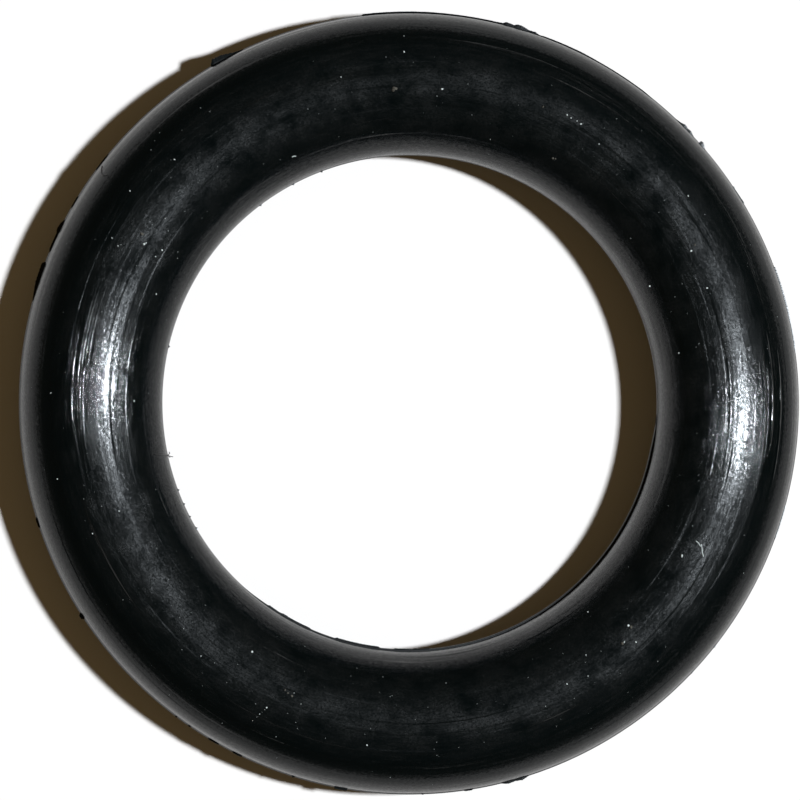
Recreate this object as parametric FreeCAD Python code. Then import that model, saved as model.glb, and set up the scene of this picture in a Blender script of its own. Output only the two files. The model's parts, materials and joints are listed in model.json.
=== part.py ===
import FreeCAD, Part
import math
import os

# A moulded rubber o-ring: one solid of round section. It was pressed in a mould of two halves
# that met on the ring's middle plane, so a thin land of flash stands round the bore and round
# the outside. The flash was torn and trimmed off roughly, and left shreds of film on both lands.
# Frame: origin at the ring's centre, Z along the ring's axis, the middle plane is z = 0.
# All lengths are in millimetres, and angles in degrees, anticlockwise from +X seen from above.

# Body of the ring
BORE = 9.19
SECTION = 2.62

# Trimmed lands of flash on the middle plane
LAND_THICKNESS = 0.06
OUTER_LAND_REACH = 0.02
INNER_LAND_REACH = 0.03

# The bore was trimmed a little off centre: its land is widest towards this angle
TRIM_OFFSET = 0.024
TRIM_ANGLE = 325.0

# Shreds of film that the trimming left, and how deep they are rooted in the body
FILM_THICKNESS = 0.028
FILM_ROOT = 0.15

# Each shred is an outline of points: the angle, and how far it stands from the moulded body.
# Two points at one height are joined by an arc, others by a torn straight edge.
OUTER_SHREDS = [
    # low strip, torn off square at its far end
    [(6.8, 0.012), (8.6, 0.034), (11.5, 0.027), (14.0, 0.038), (20.3, 0.038), (20.6, 0.010)],
    # two nicks
    [(30.7, 0.010), (30.9, 0.038), (31.5, 0.030), (33.2, 0.024), (33.6, 0.040), (33.9, 0.010)],
    # thin whisker that leans over
    [(40.4, 0.010), (41.5, 0.084), (41.9, 0.078), (41.1, 0.010)],
    # low mound with two peaks
    [(42.9, 0.012), (44.0, 0.060), (44.5, 0.044), (45.1, 0.066), (45.9, 0.034), (47.2, 0.012)],
    # low strip that runs into the ragged tag
    [(50.0, 0.010), (53.0, 0.028), (61.0, 0.028), (64.0, 0.036), (69.8, 0.030), (70.6, 0.020)],
    # ragged tag
    [(70.3, 0.016), (71.2, 0.052), (72.1, 0.046), (73.4, 0.090), (74.0, 0.088), (74.5, 0.058),
     (75.4, 0.070), (75.8, 0.069), (76.1, 0.040), (77.0, 0.036)],
    # long dark strip that ends at a step
    [(76.6, 0.034), (84.0, 0.034), (87.0, 0.038), (96.8, 0.038), (97.1, 0.010)],
    # largest tag, a slope with a steep end
    [(114.8, 0.010), (116.9, 0.050), (118.2, 0.104), (119.2, 0.118), (119.9, 0.126),
     (120.4, 0.062), (120.6, 0.010)],
    # broken edge beyond it
    [(140.0, 0.012), (141.2, 0.030), (143.3, 0.024), (143.7, 0.010)],
    [(147.8, 0.010), (148.4, 0.030), (149.9, 0.026), (150.2, 0.010)],
    # two blunt tags
    [(151.9, 0.012), (152.9, 0.060), (153.8, 0.068), (154.4, 0.040), (156.8, 0.040), (157.5, 0.012)],
    [(158.8, 0.012), (159.2, 0.072), (162.2, 0.070), (163.4, 0.046), (165.2, 0.014)],
    # short nicks down the far side
    [(196.8, 0.010), (197.2, 0.040), (198.3, 0.036), (198.7, 0.010)],
    [(212.3, 0.010), (212.6, 0.066), (213.2, 0.060), (213.5, 0.010)],
    [(232.9, 0.010), (233.1, 0.032), (233.5, 0.010)],
    [(235.2, 0.010), (235.5, 0.034), (235.9, 0.010)],
    [(238.7, 0.010), (239.0, 0.034), (240.4, 0.030), (240.8, 0.010)],
    [(242.7, 0.010), (243.1, 0.034), (244.2, 0.036), (244.6, 0.010)],
    [(252.2, 0.010), (252.4, 0.040), (252.9, 0.010)],
    # square stub
    [(258.7, 0.010), (258.8, 0.048), (260.6, 0.048), (260.7, 0.010)],
    [(271.3, 0.010), (271.8, 0.028), (272.2, 0.010)],
    [(277.6, 0.010), (278.1, 0.034), (279.0, 0.034), (279.4, 0.010)],
    # low double hump
    [(283.2, 0.010), (284.5, 0.060), (285.5, 0.042), (286.6, 0.062), (287.9, 0.012)],
    # last nicks
    [(316.0, 0.010), (316.3, 0.030), (316.7, 0.010)],
    [(321.1, 0.010), (321.4, 0.038), (321.9, 0.010)],
    [(338.8, 0.010), (340.0, 0.028), (344.4, 0.028), (345.4, 0.010)],
]

INNER_SHREDS = [
    # specks along the thin side of the bore
    [(110.4, 0.000), (110.8, 0.036), (111.3, 0.000)],
    [(117.6, 0.000), (118.0, 0.032), (118.5, 0.000)],
    [(126.6, 0.000), (127.0, 0.034), (127.5, 0.000)],
    [(166.4, 0.000), (166.8, 0.038), (167.2, 0.000)],
    [(200.1, 0.000), (200.5, 0.040), (200.9, 0.000)],
    [(203.6, 0.010), (204.0, 0.042), (206.8, 0.036), (207.2, 0.044), (207.6, 0.010)],
    [(209.9, 0.010), (210.3, 0.044), (210.8, 0.010)],
    # black strip, whole but for one tear
    [(234.5, 0.015), (235.1, 0.046), (238.2, 0.040), (239.0, 0.060), (240.4, 0.050),
     (245.8, 0.050), (246.4, 0.030)],
    [(251.6, 0.020), (252.6, 0.058), (262.6, 0.062), (263.3, 0.020)],
    [(265.9, 0.020), (266.4, 0.058), (274.4, 0.056), (275.2, 0.030)],
    # bulge of film at the near side
    [(352.6, 0.030), (353.8, 0.080), (356.0, 0.080), (357.4, 0.030)],
]

SECTION_RADIUS = SECTION / 2
BODY_INNER = BORE / 2
BODY_OUTER = BORE / 2 + SECTION
RING_RADIUS = BORE / 2 + SECTION_RADIUS


def polar(radius, angle, height):
    """A point given by its radius and angle about the ring's axis."""
    turn = math.radians(angle)
    return FreeCAD.Vector(radius * math.cos(turn), radius * math.sin(turn), height)


def arc(radius, start, end, height):
    """An arc about the ring's axis from one angle to another."""
    middle = polar(radius, (start + end) / 2, height)
    return Part.Arc(polar(radius, start, height), middle, polar(radius, end, height)).toShape()


def section_point(out, up):
    """A point in the section's plane, measured from the centre of the section."""
    return FreeCAD.Vector(RING_RADIUS + out, 0, up)


def section_arc(start, end):
    """A piece of the section's circle. 0 degrees is outwards and 90 degrees is the crown."""
    points = []
    for angle in (start, (start + end) / 2, end):
        turn = math.radians(angle)
        points.append(section_point(SECTION_RADIUS * math.cos(turn), SECTION_RADIUS * math.sin(turn)))
    return Part.Arc(*points).toShape()


def body():
    """The round section with its outer land, revolved about the ring's axis."""
    half = LAND_THICKNESS / 2
    root = math.sqrt(SECTION_RADIUS ** 2 - half ** 2)
    root_angle = math.degrees(math.asin(half / SECTION_RADIUS))
    edge = SECTION_RADIUS + OUTER_LAND_REACH
    profile = Part.Wire([
        section_arc(180, 90),
        section_arc(90, root_angle),
        Part.makeLine(section_point(root, half), section_point(edge, half)),
        Part.makeLine(section_point(edge, half), section_point(edge, -half)),
        Part.makeLine(section_point(edge, -half), section_point(root, -half)),
        section_arc(-root_angle, -90),
        section_arc(-90, -180),
    ])
    return Part.Face(profile).revolve(FreeCAD.Vector(0, 0, 0), FreeCAD.Vector(0, 0, 1), 360)


def inner_land():
    """The land round the bore: a thin disc, rooted in the body, trimmed by the off-centre cut."""
    half = LAND_THICKNESS / 2
    disc = Part.makeCylinder(RING_RADIUS, LAND_THICKNESS, FreeCAD.Vector(0, 0, -half))
    cut_centre = polar(TRIM_OFFSET, TRIM_ANGLE + 180, -LAND_THICKNESS)
    cut = Part.makeCylinder(BODY_INNER - INNER_LAND_REACH, 2 * LAND_THICKNESS, cut_centre)
    return disc.cut(cut)


def shred(outline, edge_radius, outward):
    """One torn shred of film. outward is 1 on the outside of the ring and -1 in the bore."""
    low = -FILM_THICKNESS / 2
    root_radius = edge_radius - outward * FILM_ROOT
    first = outline[0][0]
    last = outline[-1][0]
    sides = []
    corner = polar(root_radius, first, low)
    for index, (angle, reach) in enumerate(outline):
        radius = edge_radius + outward * reach
        point = polar(radius, angle, low)
        if index > 0 and reach == outline[index - 1][1]:
            sides.append(arc(radius, outline[index - 1][0], angle, low))
        else:
            sides.append(Part.makeLine(corner, point))
        corner = point
    sides.append(Part.makeLine(corner, polar(root_radius, last, low)))
    sides.append(arc(root_radius, last, first, low))
    return Part.Face(Part.Wire(sides)).extrude(FreeCAD.Vector(0, 0, FILM_THICKNESS))


def o_ring():
    """The whole ring as one solid."""
    outer = [shred(outline, BODY_OUTER, 1) for outline in OUTER_SHREDS]
    inner = [shred(outline, BODY_INNER, -1) for outline in INNER_SHREDS]
    return body().multiFuse([inner_land()] + outer + inner).removeSplitter().Solids[0]


os.makedirs("parts", exist_ok=True)
o_ring().exportStep("parts/o_ring.step")
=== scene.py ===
import json
import math
import random
from functools import partial

import bmesh
import bpy
from bpy.props import FloatProperty, FloatVectorProperty, IntProperty, PointerProperty
from mathutils import Matrix, Vector
from mathutils.bvhtree import BVHTree


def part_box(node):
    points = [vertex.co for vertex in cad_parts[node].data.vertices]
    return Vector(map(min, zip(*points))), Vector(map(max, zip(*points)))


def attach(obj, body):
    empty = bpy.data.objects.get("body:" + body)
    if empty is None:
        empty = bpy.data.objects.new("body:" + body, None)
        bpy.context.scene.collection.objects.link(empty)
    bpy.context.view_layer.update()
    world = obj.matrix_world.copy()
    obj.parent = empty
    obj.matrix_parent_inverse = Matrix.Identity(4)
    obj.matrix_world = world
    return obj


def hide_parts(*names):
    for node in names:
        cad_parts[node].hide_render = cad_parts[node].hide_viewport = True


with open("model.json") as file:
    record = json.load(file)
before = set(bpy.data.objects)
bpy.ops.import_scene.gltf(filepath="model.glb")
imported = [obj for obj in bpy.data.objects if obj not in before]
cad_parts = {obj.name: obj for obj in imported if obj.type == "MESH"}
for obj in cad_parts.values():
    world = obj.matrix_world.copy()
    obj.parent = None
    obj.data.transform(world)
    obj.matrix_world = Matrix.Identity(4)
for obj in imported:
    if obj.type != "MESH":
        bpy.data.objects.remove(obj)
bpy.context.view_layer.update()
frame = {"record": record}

# A moulded rubber o-ring that lies flat on a pale floor, seen from straight above.
# Lengths are in metres. Angles about the ring's axis run anticlockwise from +X, seen from above.

bl_info = {
    "name": "Moulded O-Ring",
    "version": (1, 0, 0),
    "blender": (4, 5, 0),
    "location": "3D View > Sidebar > O-Ring",
    "description": "Builds a black rubber o-ring with its parting-line flash, its dust and a plain stage",
    "category": "Object",
}

MM = 0.001
LOW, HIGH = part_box("o_ring")
FITS = {mount["name"]: mount for mount in frame["record"]["mounts"]}

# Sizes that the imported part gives
SECTION_RADIUS = (HIGH.z - LOW.z) / 2
OUTER_EDGE = FITS["outside"]["dims"]["r_mm"] * MM
INNER_EDGE = FITS["bore"]["dims"]["r_mm"] * MM
LAND_THICKNESS = FITS["bore"]["dims"]["length_mm"] * MM
BORE_CENTRE = Vector(FITS["bore"]["pos_m"])

# How far the outer land stands proud of the moulded body
OUTER_LAND_REACH = 0.02 * MM
RING_RADIUS = OUTER_EDGE - OUTER_LAND_REACH - SECTION_RADIUS
BODY_OUTER = RING_RADIUS + SECTION_RADIUS
BODY_INNER = RING_RADIUS - SECTION_RADIUS

# The photograph's frame: its width, the ring's scale in it, and where the ring's centre falls
PHOTO_WIDTH = 800
PIXELS_PER_MM = 54.07
RING_CENTRE_X = 409.9
RING_CENTRE_Y = 403.2
FRAME_WIDTH = PHOTO_WIDTH / PIXELS_PER_MM * MM
CENTRE_RIGHT = (PHOTO_WIDTH / 2 - RING_CENTRE_X) / PIXELS_PER_MM * MM
CENTRE_UP = (RING_CENTRE_Y - PHOTO_WIDTH / 2) / PIXELS_PER_MM * MM

# The stretch of the bore's land that is still sharp: its middle, half its length, and where it ends
SHARP_MIDDLE = math.radians(292)
SHARP_REACH = math.radians(56)
SHARP_END = math.radians(10)

# Where it is worn, its edge stands this share of its lip's width clear of the body
WORN_LIP_SHARE = 0.6

# Edges of the ring's mesh that turn by more than this stay sharp
SHARP_EDGE_ANGLE = math.radians(40)

# The rubber: its refraction, which draw of each noise is used, and the cells too fine to see one by one
RUBBER_IOR = 1.3
SCRATCH_DRAW = 2
BLOOM_DRAW = 2
HAIR_CELL = 0.000001
BLOOM_CELL = (0.0000011, 0.0000013)

# The shallowest share of a scratch's depth, the share that is left of it on the flat parts, how much
# coarser the grain is near the parting line, and how far the bloom sits inward of the crown
LEAST_DEPTH = 0.05
FLAT_SCRATCH = 0.13
FLANK_GRAIN = 2.2
BLOOM_SHIFT = math.radians(8)

# Half the side of the square floor
FLOOR_REACH = 0.45

# The sockets of a node tree: by the type of an input's default, and by the kind of an output
VALUE_SOCKETS = {float: "NodeSocketFloat", int: "NodeSocketInt", tuple: "NodeSocketVector"}
OUTPUT_SOCKETS = {"VALUE": "NodeSocketFloat", "VECTOR": "NodeSocketVector", "GEOMETRY": "NodeSocketGeometry"}

# Inputs that shader groups share, then those that the ring's sizes and the rubber's finish name
ON_THE_RING = {
    "Heading": (1.0, 0.0, 0.0), "Tilt": 0.0, "Ring Radius": RING_RADIUS, "Section Radius": SECTION_RADIUS}
RING_INPUTS = {
    "Ring Radius": 1.0, "Section Radius": 0.2, "Land Thickness": 0.01, "Edge Share": 0.2,
    "Lip Width": 0.001, "Columns": 64, "Rows": 32}
MARK_INPUTS = {
    "Lay Pitch": 0.0001, "Lay Length": 0.001, "Lay Slope": 0.1, "Facet Width": 0.00003,
    "Facet Length": 0.0003, "Facet Slope": 0.5, "Grain Size": 0.00003, "Grain Slope": 0.03,
    "Scratch Stretch": 0.0001, "Scratch Slope": 0.4, "Scratch Spread": 0.6, "Flat Share": 0.25,
    "Shoulder Slope": 0.1, "Bore Slope": 0.05}

# Each torn shred of film is an outline of points: the angle in degrees, and how far it stands from
# the moulded body in millimetres. Two points at one height are joined along the ring.
OUTER_SHREDS = [
    [(6.8, 0.012), (8.6, 0.034), (11.5, 0.027), (14.0, 0.038), (20.3, 0.038), (20.6, 0.01)],
    [(30.7, 0.01), (30.9, 0.038), (31.5, 0.03), (33.2, 0.024), (33.6, 0.04), (33.9, 0.01)],
    [(40.4, 0.01), (41.5, 0.084), (41.9, 0.078), (41.1, 0.01)],
    [(42.9, 0.012), (44.0, 0.06), (44.5, 0.044), (45.1, 0.066), (45.9, 0.034), (47.2, 0.012)],
    [(50.0, 0.01), (53.0, 0.028), (61.0, 0.028), (64.0, 0.036), (69.8, 0.03), (70.6, 0.02)],
    [(70.3, 0.016), (71.2, 0.052), (72.1, 0.046), (73.4, 0.09), (74.0, 0.088), (74.5, 0.058),
     (75.4, 0.07), (75.8, 0.069), (76.1, 0.04), (77.0, 0.036)],
    [(76.6, 0.034), (84.0, 0.034), (87.0, 0.038), (96.8, 0.038), (97.1, 0.01)],
    [(114.8, 0.01), (116.9, 0.05), (118.2, 0.104), (119.2, 0.118), (119.9, 0.126),
     (120.4, 0.062), (120.6, 0.01)],
    [(140.0, 0.012), (141.2, 0.03), (143.3, 0.024), (143.7, 0.01)],
    [(147.8, 0.01), (148.4, 0.03), (149.9, 0.026), (150.2, 0.01)],
    [(151.9, 0.012), (152.9, 0.06), (153.8, 0.068), (154.4, 0.04), (156.8, 0.04), (157.5, 0.012)],
    [(158.8, 0.012), (159.2, 0.072), (162.2, 0.07), (163.4, 0.046), (165.2, 0.014)],
    [(196.8, 0.01), (197.2, 0.04), (198.3, 0.036), (198.7, 0.01)],
    [(212.3, 0.01), (212.6, 0.066), (213.2, 0.06), (213.5, 0.01)],
    [(232.9, 0.01), (233.1, 0.032), (233.5, 0.01)],
    [(235.2, 0.01), (235.5, 0.034), (235.9, 0.01)],
    [(238.7, 0.01), (239.0, 0.034), (240.4, 0.03), (240.8, 0.01)],
    [(242.7, 0.01), (243.1, 0.034), (244.2, 0.036), (244.6, 0.01)],
    [(252.2, 0.01), (252.4, 0.04), (252.9, 0.01)],
    [(258.7, 0.01), (258.8, 0.048), (260.6, 0.048), (260.7, 0.01)],
    [(271.3, 0.01), (271.8, 0.028), (272.2, 0.01)],
    [(277.6, 0.01), (278.1, 0.034), (279.0, 0.034), (279.4, 0.01)],
    [(283.2, 0.01), (284.5, 0.06), (285.5, 0.042), (286.6, 0.062), (287.9, 0.012)],
    [(316.0, 0.01), (316.3, 0.03), (316.7, 0.01)],
    [(321.1, 0.01), (321.4, 0.038), (321.9, 0.01)],
    [(338.8, 0.01), (340.0, 0.028), (344.4, 0.028), (345.4, 0.01)],
]
INNER_SHREDS = [
    [(110.4, 0), (110.8, 0.036), (111.3, 0)],
    [(117.6, 0), (118.0, 0.032), (118.5, 0)],
    [(126.6, 0), (127.0, 0.034), (127.5, 0)],
    [(166.4, 0), (166.8, 0.038), (167.2, 0)],
    [(200.1, 0), (200.5, 0.04), (200.9, 0)],
    [(203.6, 0), (204.0, 0.04), (204.4, 0)],
    [(206.9, 0), (207.2, 0.038), (207.5, 0)],
    [(209.9, 0.01), (210.3, 0.044), (210.8, 0.01)],
    [(234.5, 0.015), (235.1, 0.046), (238.2, 0.04), (239.0, 0.06), (240.4, 0.05),
     (245.8, 0.05), (246.4, 0.03)],
    [(251.6, 0.02), (252.6, 0.058), (262.6, 0.062), (263.3, 0.02)],
    [(265.9, 0.02), (266.4, 0.058), (274.4, 0.056), (275.2, 0.03)],
    [(352.6, 0.01), (353.8, 0.02), (356.0, 0.021), (357.4, 0.01)],
]

# Fine grooves from the turned mould, where the light picks them out: the radius in pixels of the
# photograph, the slope of the walls, and the stretch of the ring in degrees
CROWN_PIXELS = 318.4
GROOVE_WIDTH = 0.05 * MM
GROOVES = [
    (346.6, 0.19, -11, 8), (350.3, 0.25, -13, 10), (353.8, 0.30, -11, 8), (357.8, 0.36, -9, 13),
    (366.3, 0.53, -13, 9),
    (314.0, 0.33, -13, 9), (309.3, 0.39, -6, 3), (301.8, 0.50, -15, -7), (328.3, 0.14, -9, 10),
    (336.0, 0.46, 160, 190), (333.4, 0.43, 158, 188), (330.6, 0.40, 161, 190), (327.6, 0.37, 158, 180),
    (341.3, 0.55, 166, 186), (286.4, 0.29, 158, 192),
]

# Loose dust where the photograph shows it: the place in its pixels, and the width in pixels
SPECKS = [
    (174.5, 159.5, 2.0), (165, 218.5, 1.6), (144, 244, 2.9), (118, 246, 1.6), (130, 191, 1.4),
    (155.5, 256.5, 1.7), (162, 250, 1.7), (156, 294, 1.7), (134, 401, 1.6), (51, 393, 1.5),
    (57.5, 479, 1.5), (92.5, 533.5, 1.5), (119, 511, 1.5), (112, 238, 1.5), (146, 243, 1.4),
    (442, 89, 2.8), (404, 52, 1.9), (341, 77, 1.2), (437, 96, 0.8), (404, 36, 0.7), (468, 84, 0.7),
    (567, 115, 1.8), (581, 124, 2.1), (577, 121, 1.5), (571, 118, 1.4), (599, 144, 1.4),
    (691, 251, 2.4), (707, 288, 2.2), (650, 286, 1.8), (688, 196, 1.7), (679, 353, 1.4),
    (682, 556, 3.3), (628.3, 625.5, 3.1), (624.2, 642, 2.6), (636, 642, 1.8), (567, 684, 1.7),
    (588, 612, 1.4), (588, 676, 1.5), (586, 655, 1.4), (252, 652, 2.6), (266.6, 707.5, 1.5),
    (264.6, 709.6, 0.6), (262.2, 712, 0.6), (259.6, 714, 1.0), (256.8, 716.8, 0.7), (252.6, 720.6, 0.6),
    (367, 745, 1.9), (201, 656, 1.6), (294, 693, 1.2), (301, 704, 1.1),
]
SMUDGES = [
    (395, 88.2, 5.6), (393, 90.2, 4.2), (553, 158, 2.8), (555.5, 158.6, 2.2), (142, 234, 3.6),
    (288, 693, 2.6), (292, 696, 2.4), (285, 690, 2.2), (695, 245, 2.0), (543, 107, 2.6),
    (631.2, 627.2, 3.6), (622.2, 643.4, 3.2),
]

# Lint: the points of each fibre in the photograph's pixels
PALE_FIBRES = [
    [(701.2, 544), (701.9, 548), (702.3, 552), (703.4, 556.5)],
    [(696, 541), (698.4, 543), (700.6, 546.5)],
    [(292.0, 156.9), (293.4, 156.0), (295.8, 155.9)],
]
DARK_FIBRES = [
    [(155, 454.4), (161, 454.9), (166.5, 455.2), (169.5, 456.2), (173, 456.8)],
    [(168.9, 451.8), (169.6, 453.4), (168.4, 454.6), (168.8, 456.4), (170.2, 457.6)],
    [(102.2, 166), (101.6, 170.5), (102.6, 175.4), (107.4, 175.2)],
]


def length(name, description, default):
    """A property that holds a length."""
    return FloatProperty(name=name, description=description, default=default, unit="LENGTH", precision=6)


def share_of(name, description, default):
    """A property that holds a share, from 0 to 1."""
    return FloatProperty(name=name, description=description, default=default, min=0.0, max=1.0)


def amount(name, description, default):
    """A property that holds a plain number."""
    return FloatProperty(name=name, description=description, default=default)


def turn_of(name, description, degrees):
    """A property that holds an angle."""
    return FloatProperty(
        name=name, description=description, default=math.radians(degrees), subtype="ANGLE", unit="ROTATION")


def tint(name, description, default):
    """A property that holds a colour."""
    return FloatVectorProperty(name=name, description=description, default=default, subtype="COLOR", size=3)


class RingSizes(bpy.types.PropertyGroup):
    """Sizes of the moulded ring and its flash."""

    ring_radius: length("Ring Radius", "From the ring's axis to the middle of its section", RING_RADIUS)
    section_radius: length("Section Radius", "Radius of the round section", SECTION_RADIUS)
    land_thickness: length(
        "Land Thickness", "Thickness of the trimmed land at the parting line", LAND_THICKNESS)
    edge_share: share_of(
        "Edge Share", "Share of the land's thickness that is left at the outer edge", 0.15)
    lip_width: length("Lip Width", "Width of the rounded lip of the bore's land", 0.018 * MM)
    film_thickness: length("Film Thickness", "Thickness of the torn film at its root", 0.028 * MM)
    columns: IntProperty(name="Columns", description="Faces round the ring", default=1280, min=64)
    rows: IntProperty(name="Rows", description="Faces round the section, even", default=76, min=16)


class RubberFinish(bpy.types.PropertyGroup):
    """Colour and surface of the black rubber."""

    colour: tint("Rubber", "Colour of the clean rubber", (0.0001, 0.0015, 0.002))
    bloom_colour: tint("Bloom", "Colour of the thin grey bloom on the rubber", (0.0096, 0.0104, 0.0103))
    gloss: share_of("Gloss", "Roughness of the clean rubber", 0.1)
    haze: share_of("Haze", "Roughness where the bloom lies", 0.265)
    dullness: amount("Dullness", "How thickly the bloom's specks lie where the bloom is", 1.25)
    flank_haze: share_of("Flank Haze", "Roughness of the clean rubber near the parting line", 0.25)
    lay_pitch: length("Lay Pitch", "Distance from one turned line to the next", 0.07 * MM)
    lay_length: length("Lay Length", "How far a turned line runs before it changes", 3.5 * MM)
    lay_slope: amount("Lay Slope", "Slope of the turned lines", 0.5)
    facet_width: length("Facet Width", "Width of the small flats along the turned lines", 0.022 * MM)
    facet_length: length("Facet Length", "Length of the small flats along the turned lines", 0.06 * MM)
    facet_slope: amount("Facet Slope", "Steepest slope of a small flat over the section", 0.12)
    grain_size: length("Grain Size", "Size of the rubber's finest grain", 0.025 * MM)
    grain_slope: amount("Grain Slope", "Slope of the rubber's finest grain", 0.012)
    scratch_slope: amount(
        "Scratch Slope", "Steepest slope of the scratches too fine to see one by one", 0.5)
    scratch_stretch: length(
        "Scratch Stretch", "Width of the more and the less scratched stretches", 0.06 * MM)
    scratch_spread: amount("Scratch Spread", "How much the scratched stretches differ", 0.45)
    flat_share: share_of("Flat Share", "Share of the surface that the scratches hardly touch", 0.34)
    shoulder_slope: amount(
        "Shoulder Slope", "How much fuller the outer shoulder looks than a true circle", 0.115)
    bore_slope: amount(
        "Bore Slope", "How much fuller the bore's shoulder looks, most at the ring's left", 0.05)


class DustSetup(bpy.types.PropertyGroup):
    """Loose dust and lint."""

    fine_count: IntProperty(
        name="Fine Grains", description="Number of grains of fine dust", default=420, min=0)
    fine_width: length("Fine Width", "Widest grain of the fine dust", 0.014 * MM)
    fibre_radius: length("Fibre Radius", "Radius of a fibre of lint", 0.007 * MM)
    seed: IntProperty(name="Seed", description="Changes where the fine dust lies", default=5)
    pale: tint("Pale Dust", "Colour of the pale dust and fibres", (0.62, 0.66, 0.64))
    dim: tint("Dim Dust", "Colour of the dim smudges", (0.075, 0.068, 0.055))
    dark: tint("Dark Lint", "Colour of the dark fibres", (0.012, 0.01, 0.009))


class StageSetup(bpy.types.PropertyGroup):
    """Floor, light and camera."""

    floor_colour: tint("Floor", "Colour of the plain floor", (0.871, 0.812, 0.771))
    room_colour: tint("Room", "Dim light of the room, which fills the shadow", (0.088, 0.0625, 0.029))
    key_slant: turn_of("Key Slant", "Angle of the key light off the vertical", 21.2)
    key_angle: turn_of("Key Angle", "Direction of the key light about the ring's axis", 0.3)
    key_distance: length("Key Distance", "Distance of the key light from the ring", 0.9)
    key_size: length("Key Size", "Side of the square key light", 0.05)
    key_power: amount("Key Power", "Power of the key light in watts", 10.3)
    key_colour: tint("Key Colour", "Colour of the key light", (0.92, 1.0, 1.07))
    camera_lean: turn_of("Camera Lean", "Angle of the view off the vertical", 4.6)
    camera_angle: turn_of(
        "Camera Angle", "Direction in which the camera leans, about the ring's axis", 194.3)
    camera_distance: length("Camera Distance", "Distance of the camera from the ring's middle plane", 0.22)


def slanted(slant, turn):
    """A direction that leans off the vertical by slant, towards turn about the ring's axis."""
    return Vector((math.sin(slant) * math.cos(turn), math.sin(slant) * math.sin(turn), math.cos(slant)))


def camera_frame(setup):
    """Where the camera stands, and the directions to its right, up and back."""
    back = slanted(setup.camera_lean, setup.camera_angle)
    right = (Vector((1, 0, 0)) - back * back.x).normalized()
    up = back.cross(right)
    return back * setup.camera_distance + right * CENTRE_RIGHT + up * CENTRE_UP, right, up, back


def add(tree, kind, inputs=None, **settings):
    """Adds a node, sets its options, then links or sets its inputs."""
    made = tree.nodes.new(kind)
    made.location = (len(tree.nodes) % 12 * 190, len(tree.nodes) // 12 * -260)
    for name, value in settings.items():
        setattr(made, name, value)
    for key, value in (inputs or {}).items():
        if isinstance(value, bpy.types.NodeSocket):
            tree.links.new(value, made.inputs[key])
        else:
            made.inputs[key].default_value = value
    return made


def sums(tree, operation, *values):
    """A Math node's result. Each value is a socket or a number."""
    return add(tree, "ShaderNodeMath", dict(enumerate(values)), operation=operation).outputs[0]


def vectors(tree, operation, *values):
    """A Vector Math node's result. Each value is a socket or a vector."""
    return add(tree, "ShaderNodeVectorMath", dict(enumerate(values)), operation=operation).outputs[0]


def scaled(tree, direction, factor):
    """A vector times a number."""
    return add(tree, "ShaderNodeVectorMath", {0: direction, 3: factor}, operation="SCALE").outputs[0]


def facing(tree, heading, side):
    """The cosine of the angle between a heading and a side."""
    return add(tree, "ShaderNodeVectorMath", {0: heading, 1: side}, operation="DOT_PRODUCT").outputs["Value"]


def ramp(tree, value, start, end, low=0.0, high=1.0, kind="SMOOTHSTEP"):
    """Turns start to end into low to high, and goes no further."""
    return add(tree, "ShaderNodeMapRange", {
        "Value": value, "From Min": start, "From Max": end, "To Min": low, "To Max": high},
        interpolation_type=kind).outputs[0]


def picked(tree, choice, otherwise, value):
    """The value where choice is 1, and otherwise the other one."""
    return add(tree, "ShaderNodeMix", {0: choice, 2: otherwise, 3: value}).outputs[0]


def inputs_of(tree, defaults):
    """Gives a node tree its named inputs. The default's type says the socket's, or a word says it."""
    for name, default in defaults.items():
        kind = VALUE_SOCKETS.get(type(default))
        made = tree.interface.new_socket(
            name=name, in_out="INPUT", socket_type=kind or "NodeSocket" + default)
        if kind:
            made.default_value = default
    return add(tree, "NodeGroupInput").outputs


def outputs_of(tree, sources):
    """Gives a node tree its named outputs, each with the socket that feeds it."""
    for name, source in sources.items():
        tree.interface.new_socket(name=name, in_out="OUTPUT", socket_type=OUTPUT_SOCKETS[source.type])
    end = add(tree, "NodeGroupOutput")
    for name, source in sources.items():
        tree.links.new(source, end.inputs[name])


def real_with(tree, geometry, material):
    """Ends a geometry tree: makes its instances real and gives them their material."""
    real = add(tree, "GeometryNodeRealizeInstances", {0: geometry})
    done = add(tree, "GeometryNodeSetMaterial", {"Geometry": real.outputs[0], "Material": material})
    outputs_of(tree, {"Geometry": done.outputs[0]})
    return tree


def named(settings, names):
    """Values of a property group, under the names that a node tree gives them."""
    return {name: getattr(settings, name.lower().replace(" ", "_")) for name in names}


def linked(name, data):
    """A new object in the scene."""
    made = bpy.data.objects.new(name, data)
    bpy.context.scene.collection.objects.link(made)
    return made


def set_inputs(modifier, values):
    """Sets a geometry modifier's inputs by the identifiers of their sockets."""
    for item in modifier.node_group.interface.items_tree:
        if item.item_type == "SOCKET" and item.in_out == "INPUT" and item.name in values:
            modifier[item.identifier] = values[item.name]


def grown(name, tree, values, base=None):
    """Runs a geometry tree on an object and keeps its result as a plain mesh."""
    grower = linked(name + "_grower", base or bpy.data.meshes.new(name + "_seed"))
    modifier = grower.modifiers.new(tree.name, "NODES")
    modifier.node_group = tree
    set_inputs(modifier, values)
    shown = grower.evaluated_get(bpy.context.evaluated_depsgraph_get())
    mesh = bpy.data.meshes.new_from_object(shown)
    grower.modifiers.remove(modifier)
    bpy.data.objects.remove(grower)
    mesh.name = name
    return linked(name, mesh)


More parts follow.
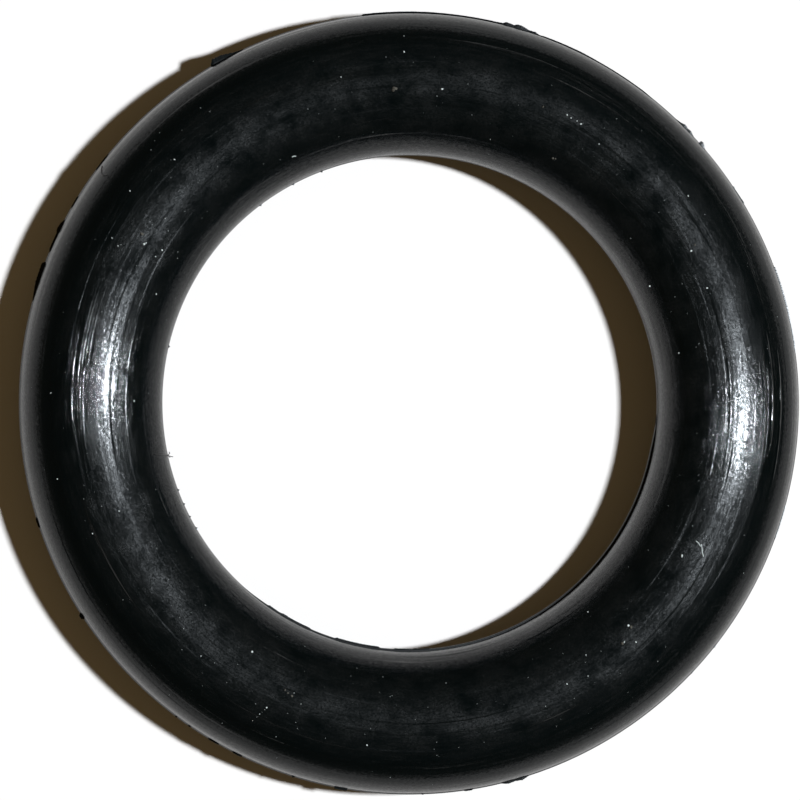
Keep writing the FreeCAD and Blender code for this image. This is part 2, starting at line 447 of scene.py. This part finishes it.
def ring_tree():
    """Geometry: a round section with a land at each side, swept round the ring."""
    tree = bpy.data.node_groups.new("Moulded Ring", "GeometryNodeTree")
    tree.is_modifier = True
    given = inputs_of(tree, {
        "Geometry": "Geometry", **RING_INPUTS, "Outer Edge": 1.21, "Inner Edge": 0.79,
        "Bore Centre": (0.0, 0.0, 0.0), "Sharp Side": (1.0, 0.0, 0.0), "Worn From": 0.8, "Worn To": 0.7,
        "Rubber": "Material"})

    maths = partial(sums, tree)
    half_rows = maths("DIVIDE", given["Rows"], 2)
    half_land = maths("DIVIDE", given["Land Thickness"], 2)
    root = maths("ARCSINE", maths("DIVIDE", half_land, given["Section Radius"]))

    # Points 0 to half run over the crown from outside to inside, and the rest run back under it
    index = add(tree, "GeometryNodeInputIndex").outputs[0]
    lower = maths("GREATER_THAN", index, maths("SUBTRACT", half_rows, 0.5))
    mirrored = maths("SUBTRACT", maths("SUBTRACT", given["Rows"], 1), index)
    step = picked(tree, lower, index, mirrored)
    last = maths("SUBTRACT", half_rows, 1)
    side = maths("SUBTRACT", 1, maths("MULTIPLY", lower, 2))
    share = maths("DIVIDE", maths("SUBTRACT", step, 1), maths("SUBTRACT", last, 3))
    sweep = maths("SUBTRACT", math.pi, maths("MULTIPLY", root, 2))
    angle = maths("ADD", root, maths("MULTIPLY", share, sweep))
    out = maths("MULTIPLY", given["Section Radius"], maths("COSINE", angle))
    up = maths("MULTIPLY", given["Section Radius"], maths("SINE", angle))

    # The first point of each half is the outer land's edge, and the last two are the bore land's lip
    at_outer = maths("LESS_THAN", step, 0.5)
    at_inner = maths("GREATER_THAN", step, maths("SUBTRACT", last, 0.5))
    at_lip = maths("GREATER_THAN", step, maths("SUBTRACT", last, 1.5))
    outer_out = maths("SUBTRACT", given["Outer Edge"], given["Ring Radius"])
    inner_out = maths("SUBTRACT", given["Inner Edge"], given["Ring Radius"])
    lip_out = maths("ADD", inner_out, given["Lip Width"])
    edge_up = maths("MULTIPLY", half_land, given["Edge Share"])
    for here, edge_out, edge_height in (
            (at_outer, outer_out, edge_up), (at_lip, lip_out, half_land), (at_inner, inner_out, edge_up)):
        out = picked(tree, here, out, edge_out)
        up = picked(tree, here, up, edge_height)
    up = maths("MULTIPLY", up, side)

    circle = add(tree, "GeometryNodeCurvePrimitiveCircle", {"Resolution": given["Rows"]})
    placed = add(tree, "ShaderNodeCombineXYZ", {0: out, 1: up})
    section = add(tree, "GeometryNodeSetPosition", {
        "Geometry": circle.outputs[0], "Position": placed.outputs[0]})
    path = add(tree, "GeometryNodeCurvePrimitiveCircle", {
        "Resolution": given["Columns"], "Radius": given["Ring Radius"]})
    swept = add(tree, "GeometryNodeCurveToMesh", {
        "Curve": path.outputs[0], "Profile Curve": section.outputs[0]})

    # The bore was trimmed off centre
    place = add(tree, "ShaderNodeSeparateXYZ", {0: add(tree, "GeometryNodeInputPosition").outputs[0]}).outputs
    radius = maths("SQRT", maths("ADD", maths("MULTIPLY", place[0], place[0]), maths(
        "MULTIPLY", place[1], place[1])))
    body_inner = maths("SUBTRACT", given["Ring Radius"], given["Section Radius"])
    trimmed = add(tree, "GeometryNodeSetPosition", {
        "Geometry": swept.outputs[0], "Selection": maths("LESS_THAN", radius, body_inner),
        "Offset": given["Bore Centre"]})

    # Outside one stretch the bore's land is worn nearly flush with the body
    level = add(tree, "ShaderNodeCombineXYZ", {0: place[0], 1: place[1]}).outputs[0]
    heading = vectors(tree, "NORMALIZE", level)
    wear = ramp(tree, facing(tree, heading, given["Sharp Side"]), given["Worn From"], given["Worn To"])
    high = maths("GREATER_THAN", maths("ABSOLUTE", place[2]), maths("DIVIDE", half_land, 2))
    flush = maths("SUBTRACT", body_inner, maths(
        "MULTIPLY", given["Lip Width"], maths("MULTIPLY", maths("SUBTRACT", 1, high), WORN_LIP_SHARE)))
    missing = maths("MAXIMUM", maths("SUBTRACT", flush, radius), 0)
    worn = add(tree, "GeometryNodeSetPosition", {
        "Geometry": trimmed.outputs[0], "Selection": maths("LESS_THAN", radius, body_inner),
        "Offset": scaled(tree, heading, maths("MULTIPLY", missing, wear))})

    smooth = add(tree, "GeometryNodeSetShadeSmooth", {"Geometry": worn.outputs[0]})
    edge = add(tree, "GeometryNodeInputMeshEdgeAngle").outputs[0]
    sharp = add(tree, "GeometryNodeSetShadeSmooth", {
        "Geometry": smooth.outputs[0], "Shade Smooth": False,
        "Selection": maths("GREATER_THAN", edge, SHARP_EDGE_ANGLE)}, domain="EDGE")
    return real_with(tree, sharp.outputs[0], given["Rubber"])


def coordinates_group():
    """Shader group: where a point lies round the ring, and how far it is over the section."""
    group = bpy.data.node_groups.new("Ring Coordinates", "ShaderNodeTree")
    given = inputs_of(group, {"Ring Radius": RING_RADIUS})
    spot = add(group, "ShaderNodeTexCoord").outputs["Object"]
    axes = add(group, "ShaderNodeSeparateXYZ", {0: spot}).outputs
    level = add(group, "ShaderNodeCombineXYZ", {0: axes[0], 1: axes[1]}).outputs[0]
    reach = add(group, "ShaderNodeVectorMath", {0: level}, operation="LENGTH").outputs["Value"]
    tilt = sums(group, "ARCTAN2", axes[2], sums(group, "SUBTRACT", reach, given["Ring Radius"]))
    outputs_of(group, {"Heading": vectors(group, "NORMALIZE", level), "Tilt": tilt})
    return group


def drawn_out_group():
    """Shader group: a place on the ring in cells that are Pitch wide over the section and Length long."""
    group = bpy.data.node_groups.new("Drawn Out Place", "ShaderNodeTree")
    given = inputs_of(group, {**ON_THE_RING, "Pitch": 0.0001, "Length": 0.001})
    run = sums(group, "DIVIDE", given["Ring Radius"], given["Length"])
    across = sums(group, "MULTIPLY", given["Tilt"], given["Section Radius"])
    rise = add(group, "ShaderNodeCombineXYZ", {2: sums(group, "DIVIDE", across, given["Pitch"])}).outputs[0]
    outputs_of(group, {"Place": vectors(group, "ADD", scaled(group, given["Heading"], run), rise)})
    return group


def drawn_place(group, drawn_out, given, pitch, run):
    """The place of a point in cells that are pitch wide and run long, from a group's own inputs."""
    values = {name: given[name] for name in ON_THE_RING}
    values.update({"Pitch": pitch, "Length": run})
    return add(group, "ShaderNodeGroup", values, node_tree=drawn_out).outputs[0]


def groove_group():
    """Shader group: the slope of one fine turned groove, along one stretch of the ring."""
    group = bpy.data.node_groups.new("Turned Groove", "ShaderNodeTree")
    given = inputs_of(group, {
        "Heading": (1.0, 0.0, 0.0), "Tilt": 0.0, "Start Tilt": 1.0, "End Tilt": 1.1, "Slope": 0.3,
        "Middle": (1.0, 0.0, 0.0), "Narrow": 0.9, "Wide": 0.8})
    over = ramp(group, given["Tilt"], given["Start Tilt"], given["End Tilt"], -math.pi, math.pi, "LINEAR")
    within = ramp(group, facing(group, given["Heading"], given["Middle"]), given["Wide"], given["Narrow"])
    wall = sums(group, "MULTIPLY", sums(group, "SINE", over), given["Slope"])
    outputs_of(group, {"Slope": sums(group, "MULTIPLY", wall, within)})
    return group


def marks_group(drawn_out, groove):
    """Shader group: slopes that the turned mould left, over the section and along the ring."""
    group = bpy.data.node_groups.new("Mould Marks", "ShaderNodeTree")
    given = inputs_of(group, {**ON_THE_RING, **MARK_INPUTS})

    maths = partial(sums, group)
    place = partial(drawn_place, group, drawn_out, given)

    def both_ways(value, reach):
        """Turns 0 to 1 into minus reach to reach."""
        return add(group, "ShaderNodeMapRange", {
            "Value": value, "To Min": -reach, "To Max": reach}, clamp=False).outputs[0]

    def cubed(value):
        return maths("MULTIPLY", maths("MULTIPLY", value, value), value)

    # Turned lines: most are nearly level, and a few lean far over
    lines = add(group, "ShaderNodeTexNoise", {
        "Vector": place(given["Lay Pitch"], given["Lay Length"]), "Scale": 1.0, "Detail": 3.0,
        "Roughness": 0.5}).outputs[0]
    lay = maths("MULTIPLY", cubed(both_ways(lines, 2.2)), given["Lay Slope"])

    # Small flats between the lines, most of them nearly level too
    cells = add(group, "ShaderNodeTexVoronoi", {
        "Vector": place(given["Facet Width"], given["Facet Length"]), "Scale": 1.0}, distance="CHEBYCHEV")
    draws = add(group, "ShaderNodeSeparateColor", {0: cells.outputs["Color"]}).outputs
    facet = maths("MULTIPLY", cubed(both_ways(draws[0], 1)), given["Facet Slope"])

    # Scratches too fine to see one by one, deeper in some stretches than in others
    stretch = given["Scratch Stretch"]
    stretches = add(group, "ShaderNodeTexNoise", {
        "Vector": place(stretch, maths("MULTIPLY", stretch, 9)), "W": SCRATCH_DRAW, "Scale": 1.0,
        "Detail": 1.5, "Roughness": 0.5}, noise_dimensions="4D").outputs[0]
    depth = maths("ADD", 1, maths("MULTIPLY", both_ways(stretches, 3), given["Scratch Spread"]))
    depth = maths("MULTIPLY", maths("MAXIMUM", depth, LEAST_DEPTH), given["Scratch Slope"])
    hairs = add(group, "ShaderNodeSeparateColor", {0: add(group, "ShaderNodeTexWhiteNoise", {
        "Vector": place(HAIR_CELL, HAIR_CELL)}).outputs["Color"]}).outputs
    hair = maths("MULTIPLY", both_ways(hairs[0], 1), both_ways(hairs[1], 1))
    rough = maths("MAXIMUM", maths("GREATER_THAN", hairs[2], given["Flat Share"]), FLAT_SCRATCH)
    scratch = maths("MULTIPLY", maths("MULTIPLY", hair, rough), depth)

    # Grooves, broken here and there
    grooves = 0.0
    for radius, slope, start, end in GROOVES:
        middle = math.radians((start + end) / 2)
        reach = math.radians((end - start) / 2)
        at = math.acos((radius - CROWN_PIXELS) * MM / PIXELS_PER_MM / SECTION_RADIUS)
        half = GROOVE_WIDTH / 2 / SECTION_RADIUS
        made = add(group, "ShaderNodeGroup", {
            "Heading": given["Heading"], "Tilt": given["Tilt"], "Start Tilt": at - half,
            "End Tilt": at + half, "Slope": slope, "Middle": (math.cos(middle), math.sin(middle), 0),
            "Narrow": math.cos(reach * 0.6), "Wide": math.cos(reach)}, node_tree=groove)
        grooves = maths("ADD", grooves, made.outputs[0])
    breaks = add(group, "ShaderNodeTexNoise", {
        "Vector": place(GROOVE_WIDTH, GROOVE_WIDTH * 8), "Scale": 1.0, "Detail": 2.0}).outputs[0]
    grooves = maths("MULTIPLY", grooves, ramp(group, breaks, 0.35, 0.6, 0.3, 1.1, "LINEAR"))

    # Marks fade towards the parting line
    height = maths("ABSOLUTE", maths("SINE", given["Tilt"]))
    outward = maths("COSINE", given["Tilt"])
    least = ramp(group, outward, -0.5, 0.5, 0.45, 0.1, "LINEAR")
    turned = maths("MULTIPLY", lay, ramp(group, height, 0.8, 0.97, 0.2, 1))
    scratched = maths("MULTIPLY", maths("ADD", scratch, facet), ramp(group, height, 0.72, 0.94, least, 1))
    marks = maths("ADD", turned, scratched)

    # Fitted to the rims' brightness, not seen as shape: the shading leans as if the shoulders were
    # fuller than a true circle, above and below, and in the bore most at the ring's left
    full = maths("MULTIPLY", ramp(group, outward, 0.6, 0.76, 0, 1), ramp(group, outward, 0.82, 0.92, 1, 0.4))
    shoulder = maths("MULTIPLY", full, given["Shoulder Slope"])
    east = add(group, "ShaderNodeSeparateXYZ", {0: given["Heading"]}).outputs[0]
    bore = maths("MULTIPLY", ramp(group, outward, -0.9, -0.72, 1, 0), maths("SUBTRACT", 1, east))
    bore = maths("MULTIPLY", bore, given["Bore Slope"])
    shoulder = maths("MULTIPLY", maths("SUBTRACT", shoulder, bore), maths("SIGN", given["Tilt"]))
    marks = maths("ADD", maths("ADD", marks, shoulder), grooves)

    # Finest grain, coarser near the parting line
    grain = add(group, "ShaderNodeTexNoise", {
        "Vector": place(given["Grain Size"], maths("MULTIPLY", given["Grain Size"], 1.6)),
        "Scale": 1.0, "Detail": 1.0}).outputs["Color"]
    specks = add(group, "ShaderNodeSeparateColor", {0: grain}).outputs
    flank = ramp(group, height, 0.6, 0.85, 1, 0)
    coarser = maths("MULTIPLY", given["Grain Slope"], maths("ADD", 1, maths("MULTIPLY", flank, FLANK_GRAIN)))
    over = maths("MULTIPLY", both_ways(specks[0], 3), coarser)
    along = maths("MULTIPLY", both_ways(specks[1], 2), given["Grain Slope"])
    outputs_of(group, {"Across": maths("ADD", marks, over), "Along": along, "Flank": flank})
    return group


def leaning_group():
    """Shader group: the surface's normal, leaned by a slope over the section and one along the ring."""
    group = bpy.data.node_groups.new("Leaning Normal", "ShaderNodeTree")
    given = inputs_of(group, {"Heading": (1.0, 0.0, 0.0), "Tilt": 0.0, "Across": 0.0, "Along": 0.0})
    axis = (0.0, 0.0, 1.0)
    sideways = sums(group, "MULTIPLY", sums(group, "SINE", given["Tilt"]), -1)
    upward = scaled(group, axis, sums(group, "COSINE", given["Tilt"]))
    over = vectors(group, "ADD", scaled(group, given["Heading"], sideways), upward)
    round_ring = vectors(group, "CROSS_PRODUCT", axis, given["Heading"])
    across = scaled(group, over, given["Across"])
    slopes = vectors(group, "ADD", across, scaled(group, round_ring, given["Along"]))
    turned = add(group, "ShaderNodeVectorTransform", {0: slopes}, convert_from="OBJECT", convert_to="WORLD")
    flat = add(group, "ShaderNodeNewGeometry").outputs["Normal"]
    outputs_of(group, {"Normal": vectors(group, "NORMALIZE", vectors(group, "ADD", flat, turned.outputs[0]))})
    return group


def bloom_group(drawn_out):
    """Shader group: patches of grey bloom, as a mask and as specks too fine to see one by one."""
    group = bpy.data.node_groups.new("Bloom Patches", "ShaderNodeTree")
    given = inputs_of(group, {**ON_THE_RING, "Patch Size": 0.0004, "Speckle Size": 0.00003, "Dullness": 1.2})

    def noise(size, draw):
        place = drawn_place(group, drawn_out, given, size, sums(group, "MULTIPLY", size, 1.4))
        return add(group, "ShaderNodeTexNoise", {
            "Vector": place, "W": draw, "Scale": 1.0, "Detail": 2.0, "Roughness": 0.6},
            noise_dimensions="4D").outputs[0]

    wide = ramp(group, noise(given["Patch Size"], BLOOM_DRAW), 0.28, 0.85, kind="LINEAR")
    fine = ramp(group, noise(given["Speckle Size"], 0), 0.35, 0.6, 0.25, kind="LINEAR")
    middle = sums(group, "SINE", sums(group, "SUBTRACT", given["Tilt"], BLOOM_SHIFT))
    crown = ramp(group, middle, 0.7, 0.97, kind="LINEAR")
    mask = sums(group, "MULTIPLY", sums(group, "MULTIPLY", wide, fine), crown)
    specks = add(group, "ShaderNodeTexWhiteNoise", {
        "Vector": drawn_place(group, drawn_out, given, *BLOOM_CELL)}).outputs["Value"]
    dull = sums(group, "LESS_THAN", specks, sums(group, "MULTIPLY", mask, given["Dullness"]))
    outputs_of(group, {"Mask": mask, "Dull": dull})
    return group


def rubber_material(groups, finish, sizes):
    """Black rubber with turned mould marks and a thin grey bloom."""
    material = bpy.data.materials.new("black_rubber")
    material.use_nodes = True
    tree = material.node_tree
    tree.nodes.clear()
    place = add(tree, "ShaderNodeGroup", {"Ring Radius": sizes.ring_radius}, node_tree=groups["coordinates"])
    where = {"Heading": place.outputs[0], "Tilt": place.outputs[1]}
    radii = named(sizes, ("Ring Radius", "Section Radius"))
    marks = add(tree, "ShaderNodeGroup", {
        **where, **radii, **named(finish, MARK_INPUTS)}, node_tree=groups["marks"])
    leaning = add(tree, "ShaderNodeGroup", {
        **where, "Across": marks.outputs[0], "Along": marks.outputs[1]}, node_tree=groups["leaning"])
    bloom = add(tree, "ShaderNodeGroup", {
        **where, **radii, "Dullness": finish.dullness}, node_tree=groups["bloom"])
    colour = add(tree, "ShaderNodeMix", {
        "Factor": bloom.outputs[0], 6: (*finish.colour, 1), 7: (*finish.bloom_colour, 1)}, data_type="RGBA")
    flank = sums(tree, "MULTIPLY", marks.outputs["Flank"], finish.flank_haze - finish.gloss)
    least = sums(tree, "ADD", flank, finish.gloss)
    rough = ramp(tree, bloom.outputs["Dull"], 0, 1, least, finish.haze, "LINEAR")
    shader = add(tree, "ShaderNodeBsdfPrincipled", {
        "Base Color": colour.outputs[2], "Roughness": rough, "IOR": RUBBER_IOR, "Normal": leaning.outputs[0]})
    add(tree, "ShaderNodeOutputMaterial", {"Surface": shader.outputs[0]})
    return material


def plain_material(name, colour, roughness):
    """A plain matt surface."""
    material = bpy.data.materials.new(name)
    material.use_nodes = True
    shader = material.node_tree.nodes["Principled BSDF"]
    shader.inputs["Base Color"].default_value = (*colour, 1)
    shader.inputs["Roughness"].default_value = roughness
    return material


def ragged(outline, edge_radius, outward, step, noise):
    """Points along a shred's torn edge, with small notches: angle and radius."""
    points = []
    for (start, low), (end, high) in zip(outline, outline[1:]):
        count = max(1, round((end - start) / step))
        for index in range(count):
            share = index / count
            reach = (low + (high - low) * share) * MM
            notch = noise.uniform(-0.16, 0.06) * max(reach - 0.02 * MM, 0)
            points.append((start + (end - start) * share, edge_radius + outward * (reach + notch)))
    points.append((outline[-1][0], edge_radius + outward * outline[-1][1] * MM))
    return points


def shreds_mesh(name, thickness):
    """All the torn shreds of film: thin blades, rooted in the body and thinner towards their edge."""
    noise = random.Random(11)
    vertices, faces = [], []
    for outlines, edge_radius, outward in ((OUTER_SHREDS, BODY_OUTER, 1), (INNER_SHREDS, BODY_INNER, -1)):
        for outline in outlines:
            points = ragged(outline, edge_radius, outward, 0.12, noise)
            first = len(vertices)
            for angle, radius in points:
                turn = math.radians(angle)
                root = edge_radius - outward * 0.08 * MM
                for share, half in ((0, 0.5), (0.6, 0.5), (1, 0.28)):
                    reach = root + (radius - root) * share
                    for height in (half * thickness, -half * thickness):
                        vertices.append((reach * math.cos(turn), reach * math.sin(turn), height))
            ends = len(points) - 1
            for column in range(ends):
                here, there = first + column * 6, first + column * 6 + 6
                for row in (0, 2):
                    faces.append((here + row, here + row + 2, there + row + 2, there + row))
                    faces.append((here + row + 1, there + row + 1, there + row + 3, here + row + 3))
                faces.append((here + 4, here + 5, there + 5, there + 4))
                faces.append((here, there, there + 1, here + 1))
            for column in (0, ends):
                base = first + column * 6
                cap = (base, base + 1, base + 3, base + 5, base + 4, base + 2)
                faces.append(cap if column == 0 else cap[::-1])
    mesh = bpy.data.meshes.new(name)
    mesh.from_pydata(vertices, [], faces)
    mesh.validate()
    return mesh


def outward_faces(mesh):
    """Turns every face of closed shells outwards."""
    work = bmesh.new()
    work.from_mesh(mesh)
    bmesh.ops.recalc_face_normals(work, faces=work.faces)
    work.to_mesh(mesh)
    work.free()


def grains_tree():
    """Geometry: an uneven grain on every point, as wide as the point's width says."""
    tree = bpy.data.node_groups.new("Dust Grains", "GeometryNodeTree")
    tree.is_modifier = True
    given = inputs_of(tree, {"Geometry": "Geometry", "Unevenness": 0.5, "Seed": 1, "Dust": "Material"})
    ball = add(tree, "GeometryNodeMeshIcoSphere", {"Radius": 0.5, "Subdivisions": 2}).outputs[0]
    bumps = add(tree, "ShaderNodeTexNoise", {"Scale": 1.6, "Detail": 1.0}).outputs["Color"]
    shift = scaled(tree, vectors(tree, "SUBTRACT", bumps, (0.5, 0.5, 0.5)), given["Unevenness"])
    grain = add(tree, "GeometryNodeSetPosition", {"Geometry": ball, "Offset": shift}).outputs[0]
    width = add(tree, "GeometryNodeInputNamedAttribute", {"Name": "width"}, data_type="FLOAT").outputs[0]

    def drawn(low, high):
        return add(tree, "FunctionNodeRandomValue", {
            0: low, 1: high, "Seed": given["Seed"]}, data_type="FLOAT_VECTOR").outputs[0]

    squash = drawn((0.7, 0.7, 0.55), (1.25, 1.1, 0.85))
    turn = drawn((0.0, 0.0, 0.0), (math.tau, math.tau, math.tau))
    placed = add(tree, "GeometryNodeInstanceOnPoints", {
        "Points": given["Geometry"], "Instance": grain, "Rotation": turn,
        "Scale": scaled(tree, squash, width)})
    return real_with(tree, placed.outputs[0], given["Dust"])


def fibres_tree():
    """Geometry: a round fibre along every chain of edges."""
    tree = bpy.data.node_groups.new("Lint Fibres", "GeometryNodeTree")
    tree.is_modifier = True
    given = inputs_of(tree, {"Geometry": "Geometry", "Radius": 0.00001, "Lint": "Material"})
    chain = add(tree, "GeometryNodeMeshToCurve", {0: given["Geometry"]}).outputs[0]
    curved = add(tree, "GeometryNodeCurveSplineType", {"Curve": chain}, spline_type="CATMULL_ROM").outputs[0]
    fine = add(tree, "GeometryNodeResampleCurve", {"Curve": curved, "Count": 16}).outputs[0]
    profile = add(tree, "GeometryNodeCurvePrimitiveCircle", {
        "Resolution": 6, "Radius": given["Radius"]}).outputs[0]
    tube = add(tree, "GeometryNodeCurveToMesh", {
        "Curve": fine, "Profile Curve": profile, "Fill Caps": True}).outputs[0]
    return real_with(tree, tube, given["Lint"])


def seen_at(surface, view, x, y, level):
    """The place on the surface that a pixel of the photograph shows, and its normal."""
    start, right, up, back = view
    scale = MM / PIXELS_PER_MM
    middle = PHOTO_WIDTH / 2
    distance = FRAME_WIDTH / 2 / math.tan(bpy.context.scene.camera.data.angle / 2)
    ray = (right * (x - middle) * scale + up * (middle - y) * scale - back * distance).normalized()
    place, normal, _, _ = surface.ray_cast(start, ray)
    if place is None:
        place = start + ray * ((level - start.z) / ray.z)
        normal = Vector((0, 0, 1))
    return place, normal


def points_base(name, places, widths):
    """A mesh of loose points with a width on each."""
    base = bpy.data.meshes.new(name)
    base.from_pydata(places, [], [])
    base.attributes.new("width", "FLOAT", "POINT").data.foreach_set("value", widths)
    return base


def chains_base(name, chains):
    """A mesh of chains of edges."""
    base = bpy.data.meshes.new(name)
    edges, vertices = [], []
    for chain in chains:
        first = len(vertices)
        vertices += chain
        edges += [(first + step, first + step + 1) for step in range(len(chain) - 1)]
    base.from_pydata(vertices, edges, [])
    return base


class ORING_OT_ring(bpy.types.Operator):
    """Build the moulded ring and its torn shreds of flash"""

    bl_idname = "o_ring.ring"
    bl_label = "Ring"

    def execute(self, context):
        sizes = context.scene.o_ring_sizes
        finish = context.scene.o_ring_finish
        drawn_out = drawn_out_group()
        groups = {
            "coordinates": coordinates_group(), "marks": marks_group(drawn_out, groove_group()),
            "leaning": leaning_group(), "bloom": bloom_group(drawn_out)}
        rubber = rubber_material(groups, finish, sizes)
        ring = grown("ring", ring_tree(), {
            **named(sizes, RING_INPUTS),
            "Outer Edge": OUTER_EDGE, "Inner Edge": INNER_EDGE, "Bore Centre": BORE_CENTRE,
            "Sharp Side": slanted(math.pi / 2, SHARP_MIDDLE),
            "Worn From": math.cos(SHARP_REACH), "Worn To": math.cos(SHARP_REACH + SHARP_END),
            "Rubber": rubber})
        outward_faces(ring.data)
        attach(ring, "root")
        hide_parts("o_ring")
        mesh = shreds_mesh("flash_shreds", sizes.film_thickness)
        outward_faces(mesh)
        mesh.materials.append(rubber)
        shreds = linked("flash_shreds", mesh)
        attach(shreds, "root")
        return {"FINISHED"}


class ORING_OT_dust(bpy.types.Operator):
    """Lay the loose dust and the lint on the ring"""

    bl_idname = "o_ring.dust"
    bl_label = "Dust and Lint"

    def execute(self, context):
        ring = bpy.data.objects.get("ring")
        if ring is None or context.scene.camera is None:
            raise RuntimeError("The ring and the stage come before the dust")
        setup = context.scene.o_ring_dust
        sizes = context.scene.o_ring_sizes
        view = camera_frame(context.scene.o_ring_stage)
        surface = BVHTree.FromPolygons(
            [vertex.co for vertex in ring.data.vertices],
            [list(face.vertices) for face in ring.data.polygons])
        pale = plain_material("pale_dust", setup.pale, 0.6)
        dim = plain_material("dim_dust", setup.dim, 0.8)
        dark = plain_material("dark_lint", setup.dark, 0.6)

        def rested(spots):
            """Grains that lie on the ring, a little sunk into the film on it."""
            places, widths = [], []
            for x, y, across in spots:
                width = across / PIXELS_PER_MM * MM
                place, normal = seen_at(surface, view, x, y, 0)
                places.append(place + normal * width * 0.2)
                widths.append(width)
            return places, widths

        places, widths = rested(SPECKS)
        draw = random.Random(setup.seed)
        for _ in range(setup.fine_count):
            turn = draw.uniform(0, math.tau)
            tilt = draw.gauss(math.pi / 2, 0.5)
            width = setup.fine_width * draw.uniform(0.35, 1) ** 2
            reach = sizes.ring_radius + sizes.section_radius * math.cos(tilt)
            places.append((reach * math.cos(turn), reach * math.sin(turn),
                           sizes.section_radius * math.sin(tilt)))
            widths.append(width)
        grains = grains_tree()
        made = [
            grown("pale_grains", grains, {"Seed": setup.seed, "Dust": pale},
                  points_base("pale_points", places, widths)),
            grown("dim_grains", grains, {"Seed": setup.seed, "Dust": dim},
                  points_base("dim_points", *rested(SMUDGES))),
        ]

        def lying(fibres):
            """Chains that lie on the ring, and reach out level where they leave it."""
            chains = []
            for fibre in fibres:
                chain, level = [], 0
                for x, y in fibre:
                    place, normal = seen_at(surface, view, x, y, level)
                    level = place.z
                    chain.append(place + normal * setup.fibre_radius * 1.2)
                chains.append(chain)
            return chains

        tree = fibres_tree()
        for name, fibres, lint in (("pale_fibres", PALE_FIBRES, pale), ("dark_fibres", DARK_FIBRES, dark)):
            made.append(grown(name, tree, {"Radius": setup.fibre_radius, "Lint": lint},
                              chains_base(name + "_chains", lying(fibres))))
        for piece in made:
            outward_faces(piece.data)
            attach(piece, "root")
        return {"FINISHED"}


class ORING_OT_stage(bpy.types.Operator):
    """Build the plain floor, the soft key light and the camera"""

    bl_idname = "o_ring.stage"
    bl_label = "Stage"

    def execute(self, context):
        setup = context.scene.o_ring_stage
        floor_mesh = bpy.data.meshes.new("floor")
        corners = [(-1, -1), (1, -1), (1, 1), (-1, 1)]
        floor_mesh.from_pydata(
            [(x * FLOOR_REACH, y * FLOOR_REACH, LOW.z) for x, y in corners], [], [(0, 1, 2, 3)])
        floor_mesh.materials.append(plain_material("pale_floor", setup.floor_colour, 0.9))
        linked("floor", floor_mesh)

        key = bpy.data.lights.new("key", "AREA")
        key.size = setup.key_size
        key.energy = setup.key_power
        key.color = setup.key_colour
        lamp = linked("key", key)
        toward = slanted(setup.key_slant, setup.key_angle)
        lamp.location = toward * setup.key_distance
        lamp.rotation_euler = (-toward).to_track_quat("-Z", "Y").to_euler()

        room = bpy.data.worlds.new("room")
        room.use_nodes = True
        room.node_tree.nodes["Background"].inputs[0].default_value = (*setup.room_colour, 1)
        context.scene.world = room

        lens = bpy.data.cameras.new("camera")
        lens.lens = lens.sensor_width * setup.camera_distance / FRAME_WIDTH
        lens.clip_start = setup.camera_distance / 10
        camera = linked("camera", lens)
        place, right, up, back = camera_frame(setup)
        camera.matrix_world = Matrix((right, up, back)).transposed().to_4x4()
        camera.location = place
        context.scene.camera = camera
        context.scene.view_settings.view_transform = "Standard"
        return {"FINISHED"}


class ORING_PT_panel(bpy.types.Panel):
    """The o-ring's sizes, finish and stage"""

    bl_label = "O-Ring"
    bl_space_type = "VIEW_3D"
    bl_region_type = "UI"
    bl_category = "O-Ring"

    def draw(self, context):
        layout = self.layout
        scene = context.scene
        for group in (scene.o_ring_sizes, scene.o_ring_finish, scene.o_ring_dust, scene.o_ring_stage):
            box = layout.box()
            for name in group.__annotations__:
                box.prop(group, name)
        for operator in ("o_ring.ring", "o_ring.stage", "o_ring.dust"):
            layout.operator(operator)


CLASSES = (RingSizes, RubberFinish, DustSetup, StageSetup, ORING_OT_ring, ORING_OT_stage, ORING_OT_dust,
           ORING_PT_panel)


def register():
    for kind in CLASSES:
        bpy.utils.register_class(kind)
    bpy.types.Scene.o_ring_sizes = PointerProperty(type=RingSizes)
    bpy.types.Scene.o_ring_finish = PointerProperty(type=RubberFinish)
    bpy.types.Scene.o_ring_dust = PointerProperty(type=DustSetup)
    bpy.types.Scene.o_ring_stage = PointerProperty(type=StageSetup)


def unregister():
    del bpy.types.Scene.o_ring_stage
    del bpy.types.Scene.o_ring_dust
    del bpy.types.Scene.o_ring_finish
    del bpy.types.Scene.o_ring_sizes
    for kind in reversed(CLASSES):
        bpy.utils.unregister_class(kind)


def main():
    """Builds everything."""
    register()
    bpy.ops.o_ring.ring()
    bpy.ops.o_ring.stage()
    bpy.ops.o_ring.dust()


if __name__ == "__main__":
    main()
